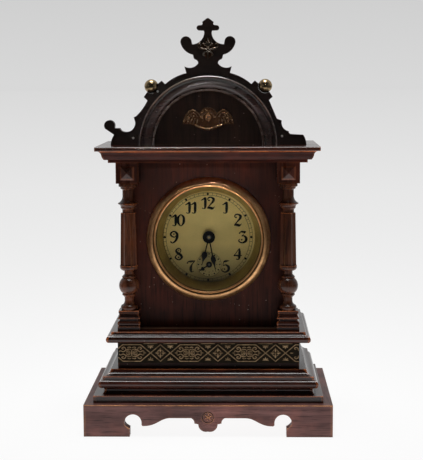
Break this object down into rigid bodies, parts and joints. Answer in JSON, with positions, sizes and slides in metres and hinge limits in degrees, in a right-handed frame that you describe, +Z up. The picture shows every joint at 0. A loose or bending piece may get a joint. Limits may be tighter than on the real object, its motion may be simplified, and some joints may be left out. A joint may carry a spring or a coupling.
{
  "type": "architectural alarm shelf clock",
  "caption": "Architectural wooden shelf clock with turned columns, stepped base, arched fretwork crest, brass bezel, alarm dial and a back door over its movement.",
  "frame": {"origin": "bottom centre of the plinth", "axes": "+Z up, +X to the viewer's right, the dial faces -Y"},
  "size_m": [0.209, 0.138, 0.3496],
  "materials": {
    "dark_wood": "polished, worn edges",
    "apron_wood": "polished, worn",
    "column_wood": "polished, worn",
    "plain_wood": "oiled",
    "gilt_strip": "embossed, dark ground",
    "old_bronze": "tarnished",
    "bright_brass": "polished",
    "glass": "clear",
    "tinned_metal": "satin",
    "dial_gilt": "satin champagne",
    "blued_steel": "dark",
    "movement_brass": "lacquered",
    "movement_steel": "plain",
    "bell_metal": "nickelled"
  },
  "bodies": {
    "case": {"plinth_front_apron": "apron_wood", "plinth_side_aprons": "apron_wood", "plinth_board": "apron_wood", "base_moulding": "dark_wood", "frieze_frame": "dark_wood", "frieze_strip": "gilt_strip", "ledge_moulding": "dark_wood", "case_floor": "plain_wood", "front_panel": "dark_wood", "side_panels": "dark_wood", "back_rails": "plain_wood", "cornice_moulding": "dark_wood", "cornice_board": "dark_wood", "column_left": "column_wood", "column_right": "column_wood", "column_foot_blocks": "dark_wood", "column_head_blocks": "dark_wood", "diamond_bosses": "dark_wood", "crest_board": "dark_wood", "arch_moulding": "dark_wood", "tympanum_panel": "dark_wood", "tympanum_ornament": "old_bronze", "crest_ornament": "old_bronze", "crest_balls": "bright_brass", "bezel_ring": "bright_brass", "glass_rim": "bright_brass", "dial_glass": "glass", "sight_ring": "tinned_metal", "dial_plate": "dial_gilt", "movement_posts": "movement_brass", "front_plate": "movement_brass", "back_plate": "movement_brass", "plate_pillars": "movement_brass", "bell": "bell_metal", "hinge_case_leaves": "bright_brass"},
    "door": {"back_door": "plain_wood", "hinge_door_leaves": "bright_brass", "door_knob": "bright_brass"},
    "minute": {"minute_hand": "blued_steel", "cannon_pinion": "movement_steel"},
    "hour": {"hour_hand": "blued_steel", "hour_wheel": "movement_brass"},
    "minute_work": {"minute_wheel": "movement_brass"},
    "hand_set": {"hand_set_knob": "movement_brass"},
    "alarm_work": {"alarm_wheel": "movement_brass"},
    "alarm_set": {"alarm_hand": "blued_steel", "alarm_set_knob": "movement_brass"},
    "time_drum": {"time_barrel": "movement_brass"},
    "time_winder": {"time_key": "movement_brass"},
    "centre": {"centre_wheel": "movement_brass"},
    "third": {"third_wheel": "movement_brass"},
    "fourth": {"fourth_wheel": "movement_brass"},
    "escape": {"escape_wheel": "movement_brass"},
    "pallet": {"pallet_lever": "movement_steel"},
    "balance": {"balance_wheel": "movement_brass"},
    "alarm_drum": {"alarm_barrel": "movement_brass"},
    "alarm_winder": {"alarm_key": "movement_brass"},
    "alarm_escape": {"alarm_escape_wheel": "movement_brass"},
    "hammer": {"alarm_hammer": "movement_steel"},
    "alarm_stop": {"alarm_stop_lever": "movement_steel"}
  },
  "joints": [
    {"name": "door_swing", "type": "hinge", "parent": "case", "child": "door", "pos_m": [0.0648, 0.05985, 0.155], "axis": [0, 0, -1], "range_deg": [0, 110]},
    {"name": "minute_turn", "type": "hinge", "parent": "case", "child": "minute", "pos_m": [0, 0, 0.1619], "axis": [0, 1, 0], "continuous": true},
    {"name": "hour_turn", "type": "hinge", "parent": "case", "child": "hour", "pos_m": [0, 0, 0.1619], "axis": [0, 1, 0], "continuous": true},
    {"name": "minute_wheel_turn", "type": "hinge", "parent": "case", "child": "minute_work", "pos_m": [-0.01326, 0, 0.16956], "axis": [0, 1, 0], "continuous": true},
    {"name": "hand_set_turn", "type": "hinge", "parent": "case", "child": "hand_set", "pos_m": [-0.02652, 0, 0.17721], "axis": [0, 1, 0], "continuous": true},
    {"name": "alarm_wheel_turn", "type": "hinge", "parent": "case", "child": "alarm_work", "pos_m": [0, 0, 0.1374], "axis": [0, 1, 0], "continuous": true},
    {"name": "alarm_set_turn", "type": "hinge", "parent": "case", "child": "alarm_set", "pos_m": [0, 0, 0.1374], "axis": [0, 1, 0], "continuous": true},
    {"name": "escape_turn", "type": "hinge", "parent": "case", "child": "escape", "pos_m": [-0.00564, 0, 0.19284], "axis": [0, 1, 0], "continuous": true},
    {"name": "fourth_turn", "type": "hinge", "parent": "case", "child": "fourth", "pos_m": [-0.00363, 0, 0.18145], "axis": [0, 1, 0], "continuous": true},
    {"name": "third_turn", "type": "hinge", "parent": "case", "child": "third", "pos_m": [0.00756, 0, 0.17499], "axis": [0, 1, 0], "continuous": true},
    {"name": "centre_turn", "type": "hinge", "parent": "case", "child": "centre", "pos_m": [0, 0, 0.1619], "axis": [0, 1, 0], "continuous": true},
    {"name": "time_barrel_turn", "type": "hinge", "parent": "case", "child": "time_drum", "pos_m": [-0.02171, 0, 0.154], "axis": [0, 1, 0], "continuous": true},
    {"name": "time_key_turn", "type": "hinge", "parent": "case", "child": "time_winder", "pos_m": [-0.02171, 0, 0.154], "axis": [0, 1, 0], "continuous": true},
    {"name": "pallet_rock", "type": "hinge", "parent": "case", "child": "pallet", "pos_m": [0.00421, 0, 0.1911], "axis": [0, 1, 0], "range_deg": [-8, 0]},
    {"name": "balance_swing", "type": "hinge", "parent": "case", "child": "balance", "pos_m": [0.01593, 0, 0.18904], "axis": [0, 1, 0], "range_deg": [-150, 150], "stiffness_Nm_per_rad": 0.000013},
    {"name": "alarm_barrel_turn", "type": "hinge", "parent": "case", "child": "alarm_drum", "pos_m": [0.02148, 0, 0.15188], "axis": [0, 1, 0], "continuous": true},
    {"name": "alarm_key_turn", "type": "hinge", "parent": "case", "child": "alarm_winder", "pos_m": [0.02148, 0, 0.15188], "axis": [0, 1, 0], "continuous": true},
    {"name": "alarm_escape_turn", "type": "hinge", "parent": "case", "child": "alarm_escape", "pos_m": [0.02753, 0, 0.13527], "axis": [0, 1, 0], "continuous": true},
    {"name": "hammer_swing", "type": "hinge", "parent": "case", "child": "hammer", "pos_m": [0.03657, 0, 0.1393], "axis": [0, -1, 0], "range_deg": [-1, 8]},
    {"name": "alarm_stop_turn", "type": "hinge", "parent": "case", "child": "alarm_stop", "pos_m": [0.03, 0, 0.1839], "axis": [0, -1, 0], "range_deg": [0, 40]}
  ],
  "couplings": [
    {"joint": "hour_turn", "follows": "minute_turn", "ratio": 0.083333},
    {"joint": "minute_wheel_turn", "follows": "minute_turn", "ratio": -0.33333},
    {"joint": "hand_set_turn", "follows": "minute_turn", "ratio": 1},
    {"joint": "alarm_wheel_turn", "follows": "minute_turn", "ratio": -0.083333},
    {"joint": "centre_turn", "follows": "time_barrel_turn", "ratio": -6},
    {"joint": "third_turn", "follows": "time_barrel_turn", "ratio": 48},
    {"joint": "fourth_turn", "follows": "time_barrel_turn", "ratio": -360},
    {"joint": "escape_turn", "follows": "time_barrel_turn", "ratio": 2700},
    {"joint": "alarm_escape_turn", "follows": "alarm_barrel_turn", "ratio": -7.5}
  ]
}
